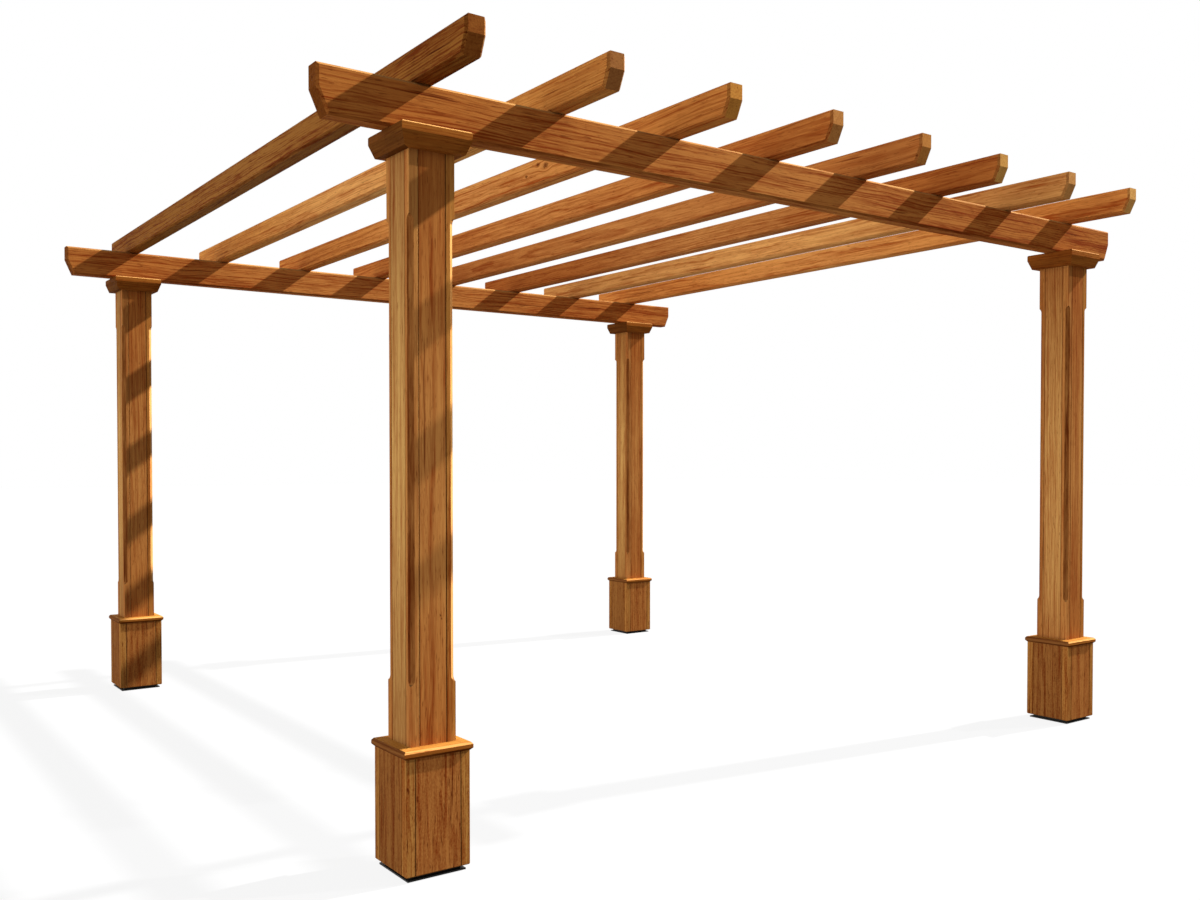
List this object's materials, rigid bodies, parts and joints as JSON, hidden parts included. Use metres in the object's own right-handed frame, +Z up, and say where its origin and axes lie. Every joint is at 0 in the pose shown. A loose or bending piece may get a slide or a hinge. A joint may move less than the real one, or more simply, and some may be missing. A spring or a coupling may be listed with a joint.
{
  "type": "wooden pergola",
  "caption": "Free-standing wooden pergola: boxed posts with moulded bases and caps carry two shaped beams under an open row of rafters.",
  "frame": {"origin": "on the ground, in the middle between the four posts", "axes": "+X along the beams to the right, +Y along the rafters to the back, +Z up"},
  "size_m": [5.1172, 5.1232, 3.096],
  "materials": {
    "foot_pad": "black moulded stand-off foot, a thin plate with a smaller pad on it",
    "base_wood": "softwood boards, upright grain, brown penetrating oil stain, satin",
    "moulding_wood": "moulded softwood, brown oil stain, satin",
    "shaft_wood": "softwood boards and stiles, upright grain, brown oil stain, satin",
    "cap_wood": "moulded softwood block, brown oil stain, satin",
    "beam_wood": "sawn and planed timber, grain along the beam, brown oil stain, satin",
    "rafter_wood": "sawn and planed timber, grain along the rafter, brown oil stain, satin"
  },
  "bodies": {
    "root": {"front_left_foot_pad": "foot_pad", "front_left_base_stiles": "base_wood", "front_left_base_boards": "base_wood", "front_left_base_moulding": "moulding_wood", "front_left_shaft_stiles": "shaft_wood", "front_left_shaft_boards": "shaft_wood", "front_left_post_cap": "cap_wood", "front_right_foot_pad": "foot_pad", "front_right_base_stiles": "base_wood", "front_right_base_boards": "base_wood", "front_right_base_moulding": "moulding_wood", "front_right_shaft_stiles": "shaft_wood", "front_right_shaft_boards": "shaft_wood", "front_right_post_cap": "cap_wood", "back_left_foot_pad": "foot_pad", "back_left_base_stiles": "base_wood", "back_left_base_boards": "base_wood", "back_left_base_moulding": "moulding_wood", "back_left_shaft_stiles": "shaft_wood", "back_left_shaft_boards": "shaft_wood", "back_left_post_cap": "cap_wood", "back_right_foot_pad": "foot_pad", "back_right_base_stiles": "base_wood", "back_right_base_boards": "base_wood", "back_right_base_moulding": "moulding_wood", "back_right_shaft_stiles": "shaft_wood", "back_right_shaft_boards": "shaft_wood", "back_right_post_cap": "cap_wood", "front_beam": "beam_wood", "back_beam": "beam_wood", "rafter_1": "rafter_wood", "rafter_2": "rafter_wood", "rafter_3": "rafter_wood", "rafter_4": "rafter_wood", "rafter_5": "rafter_wood", "rafter_6": "rafter_wood", "rafter_7": "rafter_wood", "rafter_8": "rafter_wood"}
  },
  "joints": []
}
